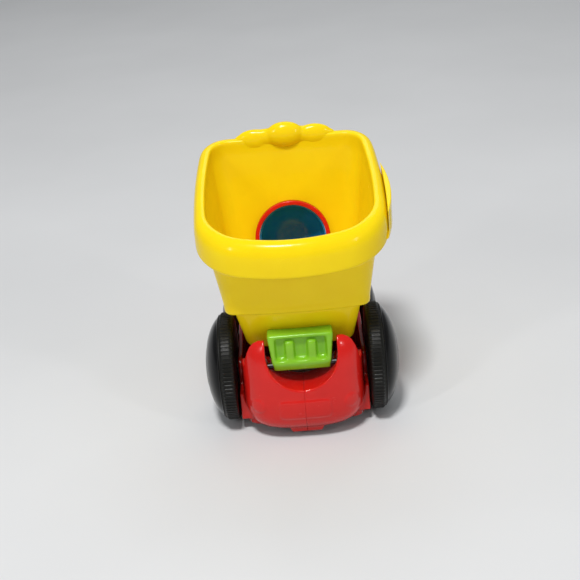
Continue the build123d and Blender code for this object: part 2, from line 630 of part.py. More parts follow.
def spur(teeth, tooth_angle, x0, width, place):
    """A gear as a solid along +X, its axis at place (y, z)."""
    return Pos(x0, *place) * extrude(Plane.YZ * gear(teeth, tooth_angle), width)


def axle_pinion():
    solid = spur(PINION_TEETH, IDLER_ANGLE, AXLE_GEAR_X, GEAR_W, (REAR_AXLE_Y, REAR_WHEEL_R))
    hub_r, hub_length = AXLE_HUB
    hub_x = AXLE_GEAR_X + GEAR_W
    hub = along_x(hub_x, hub_x + hub_length, hub_r, REAR_AXLE_Y, REAR_WHEEL_R)
    return solid + hub - along_x(-FAR, FAR, AXLE_R, REAR_AXLE_Y, REAR_WHEEL_R)


def idler_gear():
    """The wheel that meshes with the axle's pinion, and its own pinion for the spring's gear."""
    wheel_angle = IDLER_ANGLE + 180 + 180 / IDLER_TEETH
    wheel = spur(IDLER_TEETH, wheel_angle, AXLE_GEAR_X, GEAR_W, idler_place())
    pinion = spur(PINION_TEETH, SPRING_ANGLE, AXLE_GEAR_X + GEAR_W, IDLER_PINION_W, idler_place())
    return wheel + pinion - along_x(-FAR, FAR, IDLER_SHAFT_R + RUNNING_GAP, *idler_place())


def spring_gear():
    angle = SPRING_ANGLE + 180 + 180 / SPRING_TEETH
    wheel = spur(SPRING_TEETH, angle, SPRING_GEAR_X, GEAR_W, arbor_place())
    return wheel - along_x(-FAR, FAR, ARBOR_R, *arbor_place())


def mainspring():
    """A flat spiral of spring steel, made of half turns whose centres alternate."""
    step = MAINSPRING_PITCH / 2
    def edge(offset):
        arcs = []
        for turn in range(MAINSPRING_HALF_TURNS):
            radius = MAINSPRING_INNER_R + turn * step + offset
            centre = 0.0 if turn % 2 == 0 else step
            sign = 1 if turn % 2 == 0 else -1
            start, end = (centre + sign * radius, 0), (centre - sign * radius, 0)
            arcs.append(ThreePointArc(start, (centre, sign * radius), end))
        return arcs
    outer, inner = edge(MAINSPRING_THICK / 2), edge(-MAINSPRING_THICK / 2)
    ends = [Line(inner[0] @ 0, outer[0] @ 0), Line(outer[-1] @ 1, inner[-1] @ 1)]
    strip = make_face(outer + inner + ends)
    x0, x1 = MAINSPRING_X
    return Pos(x0, *arbor_place()) * extrude(Plane.YZ * strip, x1 - x0)


def wheels(name, radius, width, outer_x, axle_y):
    """The left and right wheels of one axle, each an inner half and a domed cap."""
    parts = {}
    for side, word in ((-1, "left"), (1, "right")):
        place = wheel_place(side, axle_y, radius)
        parts[f"{name}_wheel_{word}"] = place * wheel_disc(radius, width)
        parts[f"{name}_wheel_cap_{word}"] = place * wheel_cap(radius, width, outer_x)
    return parts


def all_parts():
    tub = hopper_tub()
    body = lower_body()
    case = motor_case()
    rear_half = WHEEL_INNER_X + REAR_TREAD_W + AXLE_END[0]
    front_half = WHEEL_INNER_X + FRONT_TREAD_W + AXLE_END[1]
    parts = {
        "body_left": half_of(body, -1),
        "body_right": half_of(body, 1),
        "base_plate": base_plate(),
        "base_screws": Compound(base_screws(slotted=True)),
        "hopper_shell": hopper_shell(),
        "hopper_tub": tub,
        "side_grip": side_grip(),
        "window_ring": window_ring(),
        "window_bowl": window_bowl(),
        "hinge_bracket": hinge_bracket(tub),
        "hinge_pin": along_x(-HINGE_PIN_HALF, HINGE_PIN_HALF, HINGE_PIN_R, HINGE_Y, HINGE_Z),
        "rear_axle": along_x(-rear_half, rear_half, AXLE_R, REAR_AXLE_Y, REAR_WHEEL_R),
        "front_axle": along_x(-front_half, front_half, AXLE_R, FRONT_AXLE_Y, FRONT_WHEEL_R),
        "motor_case_left": half_of(case, -1),
        "motor_case_right": half_of(case, 1),
        "motor_screws": Compound(motor_screws(slotted=True)),
        "axle_pinion": axle_pinion(),
        "idler_gear": idler_gear(),
        "idler_shaft": along_x(-MOTOR_HALF_W, MOTOR_HALF_W, IDLER_SHAFT_R, *idler_place()),
        "spring_gear": spring_gear(),
        "spring_arbor": along_x(-MOTOR_HALF_W, MOTOR_HALF_W, ARBOR_R, *arbor_place()),
        "mainspring": mainspring(),
    }
    parts.update(wheels("rear", REAR_WHEEL_R, REAR_TREAD_W, REAR_WHEEL_OUTER_X, REAR_AXLE_Y))
    parts.update(wheels("front", FRONT_WHEEL_R, FRONT_TREAD_W, FRONT_WHEEL_OUTER_X, FRONT_AXLE_Y))
    return parts


os.makedirs("parts", exist_ok=True)
for node_name, shape in all_parts().items():
    export_step(shape, f"parts/{node_name}.step")
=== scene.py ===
"""Looks of the pull back tipper truck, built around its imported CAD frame.

Shapes are worked out in millimetres and turned into metres when a mesh is made. +Y is forward, +X is right.
"""
import json
import math
from collections import namedtuple

import bmesh
import bpy
from mathutils import Matrix, Vector


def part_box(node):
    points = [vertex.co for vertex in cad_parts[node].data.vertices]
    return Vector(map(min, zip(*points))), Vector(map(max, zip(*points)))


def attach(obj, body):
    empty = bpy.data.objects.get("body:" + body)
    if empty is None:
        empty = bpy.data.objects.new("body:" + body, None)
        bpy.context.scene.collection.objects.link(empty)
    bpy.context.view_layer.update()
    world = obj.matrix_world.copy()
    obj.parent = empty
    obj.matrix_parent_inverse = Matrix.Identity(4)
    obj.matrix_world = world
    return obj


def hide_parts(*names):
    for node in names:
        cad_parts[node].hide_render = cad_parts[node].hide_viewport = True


MM = 0.001

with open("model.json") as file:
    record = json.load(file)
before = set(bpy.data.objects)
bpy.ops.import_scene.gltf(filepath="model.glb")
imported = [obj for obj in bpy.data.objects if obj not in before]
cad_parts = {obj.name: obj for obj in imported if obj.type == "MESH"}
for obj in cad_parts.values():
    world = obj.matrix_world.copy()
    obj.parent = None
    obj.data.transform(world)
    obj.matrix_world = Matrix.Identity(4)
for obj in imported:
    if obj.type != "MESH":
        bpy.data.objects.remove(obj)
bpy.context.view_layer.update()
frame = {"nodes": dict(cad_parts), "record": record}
nodes = frame["nodes"]


def box_mm(node):
    """A CAD node's lowest and highest corner in millimetres."""
    low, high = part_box(node)
    return low / MM, high / MM


# ---- sizes that follow the frame ----
TUB_LOW, TUB_HIGH = box_mm("hopper_tub")
SHELL_LOW, SHELL_HIGH = box_mm("hopper_shell")
STEP_Z = TUB_HIGH.z                     # where the narrow tub meets the wide upper hopper
RIM_REAR_Y = SHELL_LOW.y
RIM_FRONT_Y = SHELL_HIGH.y
CREST_TOP_Z = SHELL_HIGH.z

MERGE = 0.002                           # points closer than this become one
SLIVER = 0.001                          # edges shorter than this are dissolved
AT_MIDDLE = 1e-6                        # metres; how close to x = 0 counts as on it
WELD = 1e-5                             # metres; gap between CAD faces that are joined up

# ---- hopper; its tub and the roll of its rim are a little fuller here than in the CAD ----
WALL = 2.0
RIM_SIDE_W = 5.6
LIP_W = 6.0
RIM_TALL = 14.0
RIM_TOP_REAR_Z = 98.3
RIM_SLOPE = math.tan(math.radians(14.04))
WINDOW_CENTRE = Vector((0.0, 14.3, 71.0))
WINDOW_TILT = math.radians(8.4)
RING_OUTER_R = 18.0
RING_INNER_R = 16.0
RING_PROUD = 2.5
RING_BACK = 4.4
BOWL_R = 15.9
BOWL_RECESS = 1.5
BOWL_WALL = 0.8
RING_FLANGE_W = 2.2
RING_FLANGE_THICK = 1.6
RING_EDGE_R = 0.55
CUTTER_REACH = 9.0                      # how far the window's hole is cut to each side of its wall

# ---- how many points a half outline gets ----
REAR_STEPS = 7
CORNER_STEPS = 6
SIDE_STEPS = 10
FRONT_STEPS = 7
ROUND = 0.5523                          # pull of a Bezier handle that makes a quarter circle

Plan = namedtuple("Plan", "rear_w mid_w front_w y_rear y_front bow r_rear r_front")
WELL = Plan(25.4, 25.7, 25.4, -43.6, 13.0, 2.2, 3.5, 4.5)
LEDGE = Plan(29.0, 29.3, 28.8, -44.8, 12.8, 2.4, 3.4, 7.2)
FOOT_INNER = Plan(30.3, 30.6, 30.0, -45.3, 13.2, 2.5, 3.4, 7.8)
FOOT_OUTER = Plan(32.3, 32.6, 32.0, -47.3, 15.2, 2.5, 4.2, 9.0)
TUB_TOP = Plan(28.3, 28.6, 28.3, -45.9, 15.0, 2.2, 5.0, 6.0)
TUB_BOTTOM = Plan(24.2, 24.4, 24.2, -37.6, 11.7, 2.0, 5.0, 6.0)
TUB_FLOOR = Plan(21.8, 22.0, 21.8, -36.1, 10.0, 2.0, 3.5, 4.5)
NECK = Plan(35.9, 36.6, 35.2, -55.2, 21.5, 6.5, 8.5, 11.0)
RIM = Plan(41.0, 42.6, 39.8, RIM_REAR_Y, RIM_FRONT_Y, 10.0, 15.0, 11.5)
MOUTH = Plan(41.0 - RIM_SIDE_W, 42.6 - RIM_SIDE_W, 39.8 - RIM_SIDE_W,
             RIM_REAR_Y + LIP_W, RIM_FRONT_Y - LIP_W, 9.0, 12.0, 7.0)

# ---- where the loops of the upper hopper lie ----
WELL_TALL = 1.5
WELL_EDGE = 0.5
LEDGE_INSET = 0.2
LEDGE_RISE = 0.6
INSIDE_RISE = 1.6                       # the inside wall starts this far above the ledge
INSIDE_SHARES = (0.0, 0.18, 0.36, 0.54, 0.72, 0.9, 1.0)
INSIDE_DROP = 6.5                       # the inside wall ends this far below the rim's top
RIM_ROLL = ((1.0, 2.4), (1.0, 0.8), (0.93, 0.1), (0.72, 0.0), (0.48, 0.45), (0.27, 1.5), (0.11, 3.2),
            (0.02, 5.6), (0.0, 8.4), (0.0, 11.4), (0.0, 13.4), (0.03, 14.5), (0.13, 15.1),
            (0.32, 15.2))               # share of the way from RIM to MOUTH, drop below the rim's top
NECK_FLARE = 0.7
NECK_FLARE_DROP = 1.2
NECK_DROP = 1.9
OUTSIDE_SHARES = (0.0, 0.07, 0.3, 0.55, 0.8, 1.0)
FOOT_RISE = 4.2
FOOT_EDGE = ((0.05, 1.5), (0.3, 0.6), (0.9, 0.1), (1.5, 0.0))       # inset, height above the step
TUB_OVERLAP = 0.3                       # how far the foot's last loop lies inside the tub's top

# ---- where the loops of the tub lie; an edge is given as (inset, height) ----
TUB_UNDER_EDGE = ((9.0, 0.0), (2.4, 0.0), (0.8, 0.35))
TUB_OUTSIDE_SHARES = (0.06, 0.16, 0.4, 0.7, 0.97, 1.0)
TUB_INSIDE_SHARES = (0.0, 0.03, 0.35, 0.7, 0.92)
TUB_FLOOR_EDGE = ((0.5, 0.4), (2.0, 0.0), (9.0, 0.0))

# ---- lobes on the front rim: x, how far behind the rim's front, how far below the crest's top, radii ----
CREST_LOBES = ((0, 4.6, 6.2, (9.0, 4.1, 6.2)), (-14.2, 3.4, 8.4, (9.0, 3.1, 5.4)),
               (13.6, 3.4, 7.8, (9.0, 3.1, 5.4)))
CREST_ROOT_BEHIND = 3.6
CREST_ROOT_BELOW = 0.6
CREST_ROOT_RADII = (24.0, 3.2, 4.6)
CREST_BEHIND = 4                        # where along y the rim's height under the lobes is taken

# ---- voxel size and smoothing passes of the pieces that are moulded anew ----
CREST_MOULD = (0.42, 20)
GRIP_MOULD = (0.34, 8)
BRACKET_MOULD = (0.40, 46)
BODY_MOULD = (0.5, 7)

# ---- edges sharper than this many degrees stay crisp ----
MOULDED_EDGE = 60
HOPPER_EDGE = 32
TURNED_EDGE = 50
TREAD_EDGE = 35

# ---- body ----
SEAM_DEPTH = 0.22
BONNET_FROM_Y = 19.0
BONNET_FROM_Z = 27.0
BONNET_FADE = 5.0
BONNET_PASSES = 90

# ---- wheels ----
RIBS = 84
POINTS_PER_RIB = 6
GROOVE_POINTS = 2
RIB_DEPTH = 0.30
RIB_REACH = 0.3                         # ribs are cut into the section's points this close to the surface
AXLE_HOLE_R = 1.5
INNER_SHOULDER = ((1.9, 0.0), (1.2, 0.15), (0.6, 0.5), (0.25, 1.0), (0.0, 1.5), (0.0, 2.2))     # drop, along
OUTER_SHOULDER = ((0.0, 2.2), (0.0, 1.5), (0.4, 1.1), (0.9, 0.6), (1.0, 0.0))
BAND_THICK = 3.0
WEB_SET_IN = 1.8
WEB_EASE = 0.8
WEB_OUTER_DROP = 3.6
WEB_INNER_R = 5.0
HUB_R = 4.2
DOME_BEHIND = 4.0                       # the dome's curve starts this far behind the cap's edge
DOME_STEPS = 26
CAP_GROOVE_DEPTH = 0.28
CAP_GROOVE_AT = 0.42                    # share of the wheel's radius
CAP_GROOVE_W = 0.035
CAP_WALL = 1.6
CAP_TOP_WALL = 1.7
CAP_LIP = ((0.5, 0.0), (0.1, 0.3))      # drop from the dome's edge, along
CAP_INSIDE_STEPS = 12

# ---- floor and camera ----
FLOOR_LIGHT = (0.74, 0.745, 0.75)
FLOOR_DARK = (0.70, 0.705, 0.71)
CAMERA_PLACE = Vector((5.3, -502.1, 290.5)) * MM
CAMERA_PITCH = math.radians(25.63)      # how far the camera looks down
CAMERA_YAW = math.radians(-0.99)
CAMERA_ROLL = math.radians(4.96)
LENS_MM = 72.4


# ---------------------------------------------------------------- curves and meshes

def mix(a, b, t):
    return a + (b - a) * t


def blend_plans(a, b, t):
    return Plan(*[mix(one, other, t) for one, other in zip(a, b)])


def inset(plan, by):
    """The same plan, smaller all round by a distance."""
    return Plan(plan.rear_w - by, plan.mid_w - by, plan.front_w - by, plan.y_rear + by, plan.y_front - by,
                plan.bow, max(plan.r_rear - by, 1.0), max(plan.r_front - by, 1.0))


def corner(start, tip, end, steps):
    """Points of a rounded corner from start to end, both included."""
    one, two = mix(start, tip, ROUND), mix(end, tip, ROUND)
    points = []
    for step in range(steps + 1):
        t = step / steps
        s = 1 - t
        points.append(start * s ** 3 + one * (3 * s * s * t) + two * (3 * s * t * t) + end * t ** 3)
    return points


def half_outline(plan):
    """Right half of a plan outline, from the middle of the rear to the middle of the front."""
    corner_y = plan.y_rear + plan.bow

    def rear(x):
        return Vector((x, plan.y_rear + plan.bow * (x / plan.rear_w) ** 2))

    def side(y):
        t = (y - corner_y) / (plan.y_front - corner_y)
        x = (plan.rear_w * (1 - t) * (1 - 2 * t) + plan.mid_w * 4 * t * (1 - t)
             + plan.front_w * t * (2 * t - 1))
        return Vector((x, y))

    rear_end = plan.rear_w - plan.r_rear
    side_from, side_to = corner_y + plan.r_rear, plan.y_front - plan.r_front
    front_x = plan.front_w - plan.r_front
    points = [rear(rear_end * step / REAR_STEPS) for step in range(REAR_STEPS)]
    points += corner(rear(rear_end), Vector((plan.rear_w, corner_y)), side(side_from), CORNER_STEPS)
    points += [side(mix(side_from, side_to, step / SIDE_STEPS)) for step in range(1, SIDE_STEPS)]
    points += corner(side(side_to), Vector((plan.front_w, plan.y_front)), Vector((front_x, plan.y_front)),
                     CORNER_STEPS)
    points += [Vector((front_x * (1 - step / FRONT_STEPS), plan.y_front))
               for step in range(1, FRONT_STEPS + 1)]
    return points


def station(plan, height):
    """A closed loop of 3-D points on a plan; height is a number or a function of y."""
    right = half_outline(plan)
    left = [Vector((-point.x, point.y)) for point in reversed(right[1:-1])]
    return [Vector((p.x, p.y, height(p.y) if callable(height) else height)) for p in right + left]


def between(loop_a, loop_b, t):
    return [mix(a, b, t) for a, b in zip(loop_a, loop_b)]


def make_object(bm, name):
    """Turns a bmesh into a linked object and frees it."""
    mesh = bpy.data.meshes.new(name)
    bm.to_mesh(mesh)
    bm.free()
    thing = bpy.data.objects.new(name, mesh)
    bpy.context.scene.collection.objects.link(thing)
    return thing


def finish_bmesh(bm, name):
    """Turns a bmesh in millimetres into a linked object in metres with outward normals."""
    bmesh.ops.remove_doubles(bm, verts=bm.verts, dist=MERGE)
    bmesh.ops.recalc_face_normals(bm, faces=bm.faces)
    bmesh.ops.scale(bm, vec=(MM, MM, MM), verts=bm.verts)
    return make_object(bm, name)


def skin(name, loops, ring):
    """Joins loops of equal length with quads. A ring joins last to first; otherwise both ends are capped."""
    bm = bmesh.new()
    rows = [[bm.verts.new(point) for point in loop] for loop in loops]
    pairs = list(zip(rows, rows[1:]))
    if ring:
        pairs.append((rows[-1], rows[0]))
    for low, high in pairs:
        for i in range(len(low)):
            j = (i + 1) % len(low)
            bm.faces.new((low[i], low[j], high[j], high[i]))
    if not ring:
        bm.faces.new(rows[0])
        bm.faces.new(rows[-1])
    return finish_bmesh(bm, name)


def revolved(name, profile, segments, place, closed=True):
    """Turns a (radius, along) profile about the local Z axis and places it."""
    bm = bmesh.new()
    rows = []
    for step in range(segments):
        angle = 2 * math.pi * step / segments
        rows.append([bm.verts.new(place @ Vector((r * math.cos(angle), r * math.sin(angle), along)))
                     for r, along in profile])
    last = len(profile) if closed else len(profile) - 1
    for step in range(segments):
        row, following = rows[step], rows[(step + 1) % segments]
        for i in range(last):
            j = (i + 1) % len(profile)
            bm.faces.new((row[i], row[j], following[j], following[i]))
    bmesh.ops.remove_doubles(bm, verts=bm.verts, dist=MERGE)
    bmesh.ops.dissolve_degenerate(bm, edges=bm.edges, dist=SLIVER)
    return finish_bmesh(bm, name)


def rounded(points, radius):
    """A closed profile with every corner rounded, as far as its sides allow."""
    points = [Vector(point) for point in points]
    result = []
    for i, tip in enumerate(points):
        before, after = points[i - 1], points[(i + 1) % len(points)]
        reach = min(radius, (before - tip).length / 2.05, (after - tip).length / 2.05)
        start = tip + (before - tip).normalized() * reach
        end = tip + (after - tip).normalized() * reach
        result += corner(start, tip, end, steps=5)
    return result


def apply_modifiers(thing):
    """Bakes every modifier into the mesh."""
    graph = bpy.context.evaluated_depsgraph_get()
    mesh = bpy.data.meshes.new_from_object(thing.evaluated_get(graph))
    thing.modifiers.clear()
    thing.data = mesh
    return thing


def subdivide(thing, levels):
    thing.modifiers.new("subdivision", "SUBSURF").levels = levels
    return apply_modifiers(thing)


def combine(thing, other, operation):
    """An exact boolean with another object, which is used up."""
    step = thing.modifiers.new("boolean", "BOOLEAN")
    step.operation = operation
    step.solver = "EXACT"
    step.object = other
    apply_modifiers(thing)
    bpy.data.objects.remove(other)
    return thing


def shade(thing, sharp_degrees):
    """Smooth shading that stays crisp at real edges."""
    thing.data.polygons.foreach_set("use_smooth", [True] * len(thing.data.polygons))
    thing.data.set_sharp_from_angle(angle=math.radians(sharp_degrees))
    return thing


def copy_of_nodes(name, node_names):
    """One closed mesh from CAD nodes that touch, without the faces where they meet at x = 0."""
    bm = bmesh.new()
    for node_name in node_names:
        bm.from_mesh(nodes[node_name].data)
    middle = [face for face in bm.faces if all(abs(vert.co.x) < AT_MIDDLE for vert in face.verts)]
    bmesh.ops.delete(bm, geom=middle, context="FACES")
    bmesh.ops.remove_doubles(bm, verts=bm.verts, dist=WELD)
    return make_object(bm, name)


def add_relax(thing, passes):
    relax = thing.modifiers.new("relax", "SMOOTH")
    relax.factor = 0.5
    relax.iterations = passes
    return relax


def remould(thing, voxel, passes):
    """Evens a mesh out into small faces and relaxes it, which rounds its edges as a mould does."""
    step = thing.modifiers.new("remesh", "REMESH")
    step.mode = "VOXEL"
    step.voxel_size = voxel * MM
    add_relax(thing, passes)
    return apply_modifiers(thing)


def stand_for(piece, body, slot, material, *node_names):
    """Gives a piece its material, its body and the CAD nodes that it stands for."""
    piece.data.materials.clear()
    piece.data.materials.append(material)
    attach(piece, body)
    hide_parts(*node_names)
    return piece


# ---------------------------------------------------------------- materials

def new_material(name):
    material = bpy.data.materials.new(name)
    material.use_nodes = True
    tree = material.node_tree
    return material, tree, tree.nodes["Principled BSDF"]


def noise(tree, scale, detail, stretch=(1.0, 1.0, 1.0)):
    """A noise texture in object space; scale is in features per metre."""
    place = tree.nodes.new("ShaderNodeTexCoord")
    mapping = tree.nodes.new("ShaderNodeMapping")
    mapping.inputs["Scale"].default_value = stretch
    texture = tree.nodes.new("ShaderNodeTexNoise")
    texture.inputs["Scale"].default_value = scale
    texture.inputs["Detail"].default_value = detail
    tree.links.new(place.outputs["Object"], mapping.inputs["Vector"])
    tree.links.new(mapping.outputs["Vector"], texture.inputs["Vector"])
    return texture.outputs["Fac"]


def ramp(tree, value, low, high, to_low=0.0, to_high=1.0):
    """Maps a value's range onto another, held at its ends."""
    step = tree.nodes.new("ShaderNodeMapRange")
    step.inputs["From Min"].default_value = low
    step.inputs["From Max"].default_value = high
    step.inputs["To Min"].default_value = to_low
    step.inputs["To Max"].default_value = to_high
    tree.links.new(value, step.inputs["Value"])
    return step.outputs["Result"]


def add(tree, first, second):
    step = tree.nodes.new("ShaderNodeMath")
    step.operation = "ADD"
    tree.links.new(first, step.inputs[0])
    tree.links.new(second, step.inputs[1])
    return step.outputs["Value"]


def two_tone(tree, factor, first, second):
    step = tree.nodes.new("ShaderNodeMix")
    step.data_type = "RGBA"
    step.inputs["A"].default_value = (*first, 1)
    step.inputs["B"].default_value = (*second, 1)
    tree.links.new(factor, step.inputs["Factor"])
    return step.outputs["Result"]


def bump(tree, shader, height, strength, distance):
    step = tree.nodes.new("ShaderNodeBump")
    step.inputs["Strength"].default_value = strength
    step.inputs["Distance"].default_value = distance
    tree.links.new(height, step.inputs["Height"])
    tree.links.new(step.outputs["Normal"], shader.inputs["Normal"])


def painted_crevice_shade(tree, colour, reach, floor):
    """Painted shade: darkens a colour where near surfaces keep the light out; floor is what is left in the
    deepest gap.
    """
    shelter = tree.nodes.new("ShaderNodeAmbientOcclusion")
    shelter.samples = 8
    shelter.inputs["Distance"].default_value = reach
    step = tree.nodes.new("ShaderNodeMix")
    step.data_type = "RGBA"
    step.blend_type = "MULTIPLY"
    step.inputs["Factor"].default_value = 1.0
    tree.links.new(colour, step.inputs["A"])
    lit_share = ramp(tree, shelter.outputs["AO"], low=0.1, high=0.75, to_low=floor)
    tree.links.new(lit_share, step.inputs["B"])
    return step.outputs["Result"]


def moulded_plastic(name, colour, shadow, roughness, texture=0.10, coat=0.0, specular=0.3, subsurface=0.0,
                    radius=(1, 1, 1), painted_gap_shade=1.0):
    """Glossy moulded plastic: slow colour drift, faint orange peel, patchy gloss and hairline scuffs, and
    painted shade in crevices and gaps when its last argument is below 1.
    """
    material, tree, shader = new_material(name)
    drift = ramp(tree, noise(tree, scale=55, detail=3), low=0.35, high=0.65)
    # painted shade: an ambient occlusion node darkens the base colour in crevices and between parts
    shaded_tint = painted_crevice_shade(tree, two_tone(tree, drift, colour, shadow), reach=0.014, floor=painted_gap_shade)
    tree.links.new(shaded_tint, shader.inputs["Base Color"])
    patches = ramp(tree, noise(tree, scale=120, detail=5), low=0.35, high=0.70,
                   to_low=roughness - 0.04, to_high=roughness + 0.07)
    scuffs = ramp(tree, noise(tree, scale=260, detail=6, stretch=(1.0, 7.0, 2.5)), low=0.66, high=0.74,
                  to_high=0.14)
    tree.links.new(add(tree, patches, scuffs), shader.inputs["Roughness"])
    peel = add(tree, noise(tree, scale=420, detail=3), scuffs)
    bump(tree, shader, peel, strength=texture, distance=0.0003)
    shader.inputs["Coat Weight"].default_value = coat
    shader.inputs["Coat Roughness"].default_value = 0.08
    shader.inputs["Specular IOR Level"].default_value = specular
    shader.inputs["Subsurface Weight"].default_value = subsurface
    shader.inputs["Subsurface Radius"].default_value = radius
    shader.inputs["Subsurface Scale"].default_value = 0.004
    return material


def dull_plastic(name, colour, shadow, roughness, specular=0.5):
    """Unpolished plastic with a fine even grain, as on a tread or a gear."""
    material, tree, shader = new_material(name)
    drift = ramp(tree, noise(tree, scale=90, detail=5), low=0.3, high=0.7)
    tree.links.new(two_tone(tree, drift, colour, shadow), shader.inputs["Base Color"])
    grain = noise(tree, scale=1600, detail=4)
    gloss = ramp(tree, grain, low=0.3, high=0.7, to_low=roughness - 0.06, to_high=roughness + 0.08)
    tree.links.new(gloss, shader.inputs["Roughness"])
    bump(tree, shader, grain, strength=0.25, distance=0.0002)
    shader.inputs["Specular IOR Level"].default_value = specular
    return material


def steel(name, colour, roughness, along):
    """Drawn or plated steel: fine lines that run along the part, and duller patches."""
    material, tree, shader = new_material(name)
    shader.inputs["Metallic"].default_value = 1.0
    lines = noise(tree, scale=900, detail=5, stretch=along)
    patches = ramp(tree, noise(tree, scale=150, detail=5), low=0.35, high=0.7)
    darker = tuple(channel * 0.72 for channel in colour)
    tree.links.new(two_tone(tree, patches, colour, darker), shader.inputs["Base Color"])
    gloss = ramp(tree, lines, low=0.3, high=0.7, to_low=roughness - 0.08, to_high=roughness + 0.12)
    tree.links.new(gloss, shader.inputs["Roughness"])
    bump(tree, shader, lines, strength=0.2, distance=0.0001)
    return material


def yellow_plastic():
    return moulded_plastic("yellow_plastic", (0.98, 0.715, 0.006), (0.95, 0.675, 0.005), roughness=0.16,
                           coat=0.08, specular=0.14, subsurface=0.10, radius=(1.0, 0.7, 0.05))


def red_plastic():
    # painted shade: this red is darkened to 0.22 of its colour in its deepest gaps and crevices
    return moulded_plastic("red_plastic", (0.70, 0.013, 0.009), (0.63, 0.010, 0.007), roughness=0.20,
                           coat=0.16, subsurface=0.03, radius=(1.0, 0.1, 0.05), painted_gap_shade=0.22)


def green_plastic():
    return moulded_plastic("green_plastic", (0.24, 0.54, 0.022), (0.21, 0.50, 0.018), roughness=0.18,
                           coat=0.18, subsurface=0.06, radius=(0.5, 1.0, 0.1))


def blue_plastic():
    return moulded_plastic("blue_plastic", (0.012, 0.20, 0.50), (0.010, 0.18, 0.45), roughness=0.16,
                           coat=0.08, specular=0.25)


def cap_black():
    return moulded_plastic("cap_black", (0.004, 0.004, 0.004), (0.006, 0.006, 0.006), roughness=0.13,
                           texture=0.04, specular=0.10)


def wheel_black():
    return dull_plastic("wheel_black", (0.006, 0.006, 0.005), (0.009, 0.009, 0.007), roughness=0.40,
                        specular=0.2)


def motor_plastic():
    return dull_plastic("motor_plastic", (0.70, 0.70, 0.67), (0.62, 0.62, 0.58), roughness=0.45)


def gear_plastic():
    return dull_plastic("gear_plastic", (0.80, 0.79, 0.72), (0.72, 0.71, 0.64), roughness=0.38)


def shaft_steel():
    """Steel coloured near black as painted shade, so that the pin stays as dark as the shaded gap between the
    bracket and the shoulders.
    """
    return steel("shaft_steel", (0.07, 0.07, 0.075), roughness=0.34, along=(0.05, 1.0, 1.0))


def screw_steel():
    return steel("screw_steel", (0.56, 0.56, 0.55), roughness=0.34, along=(1.0, 1.0, 0.2))


def spring_steel():
    return steel("spring_steel", (0.34, 0.36, 0.40), roughness=0.30, along=(1.0, 0.3, 0.3))


materials = {
    "yellow_plastic": yellow_plastic(),
    "red_plastic": red_plastic(),
    "green_plastic": green_plastic(),
    "blue_plastic": blue_plastic(),
    "cap_black": cap_black(),
    "wheel_black": wheel_black(),
    "motor_plastic": motor_plastic(),
    "gear_plastic": gear_plastic(),
    "shaft_steel": shaft_steel(),
    "screw_steel": screw_steel(),
    "spring_steel": spring_steel(),
}


# ---------------------------------------------------------------- hopper

def rim_height(drop):
    """Height over y of the sloping rim, some way below its top."""
    return lambda y: RIM_TOP_REAR_Z + (y - RIM_REAR_Y) * RIM_SLOPE - drop


def shell_loops():
    """Stations round the upper hopper's section: floor ledge, inside wall, rolled rim, outside wall, foot."""
    ledge_z = STEP_Z + WALL
    loops = [
        station(WELL, STEP_Z),
        station(WELL, STEP_Z + WELL_TALL),
        station(inset(WELL, -WELL_EDGE), ledge_z),
        station(LEDGE, ledge_z),
        station(inset(FOOT_INNER, LEDGE_INSET), ledge_z + LEDGE_RISE),
    ]
    foot = station(FOOT_INNER, ledge_z + INSIDE_RISE)
    mouth = station(MOUTH, rim_height(INSIDE_DROP))
    loops += [between(foot, mouth, share) for share in INSIDE_SHARES]
    loops += [station(blend_plans(RIM, MOUTH, share), rim_height(drop)) for share, drop in RIM_ROLL]
    neck = station(NECK, rim_height(RIM_TALL + NECK_DROP))
    foot = station(FOOT_OUTER, STEP_Z + FOOT_RISE)
    loops.append(station(inset(NECK, -NECK_FLARE), rim_height(RIM_TALL + NECK_FLARE_DROP)))
    loops += [between(neck, foot, share) for share in OUTSIDE_SHARES]
    for in_by, up in FOOT_EDGE:
        loops.append(station(inset(FOOT_OUTER, in_by)._replace(y_front=FOOT_OUTER.y_front), STEP_Z + up))
    loops.append(station(inset(TUB_TOP, TUB_OVERLAP), STEP_Z))
    return loops


def window_place():
    """Local +Z points into the hopper, square to its leaning front wall."""
    return Matrix.Translation(WINDOW_CENTRE) @ Matrix.Rotation(math.radians(90) - WINDOW_TILT, 4, "X")


def window_cutter():
    profile = [(0.0, -CUTTER_REACH), (RING_OUTER_R, -CUTTER_REACH), (RING_OUTER_R, CUTTER_REACH),
               (0.0, CUTTER_REACH)]
    return revolved("cutter", profile, 96, window_place(), closed=False)


def ellipsoid(name, centre, radii):
    """A ball squeezed along the axes."""
    steps = 24
    profile = [(math.sin(math.pi * i / steps), -math.cos(math.pi * i / steps)) for i in range(steps + 1)]
    place = Matrix.Translation(centre) @ Matrix.Diagonal((*radii, 1.0))
    return revolved(name, profile, 48, place, closed=False)


def hopper_crest():
    """Three puffy lobes that merge into each other and into the front rim, like a small cloud."""
    lobes = [((x, RIM_FRONT_Y - behind, CREST_TOP_Z - below), radii)
             for x, behind, below, radii in CREST_LOBES]
    rim_z = rim_height(0)(RIM_FRONT_Y - CREST_BEHIND)
    root = (0, RIM_FRONT_Y - CREST_ROOT_BEHIND, rim_z - CREST_ROOT_BELOW)
    crest = ellipsoid("hopper_crest", *lobes[0])
    for centre, radii in [*lobes[1:], (root, CREST_ROOT_RADII)]:
        combine(crest, ellipsoid("lobe", centre, radii), "UNION")
    return shade(remould(crest, *CREST_MOULD), MOULDED_EDGE)


def hopper_shell():
    shell = subdivide(skin("hopper_upper", shell_loops(), ring=True), 2)
    combine(shell, window_cutter(), "DIFFERENCE")
    return shade(shell, HOPPER_EDGE)


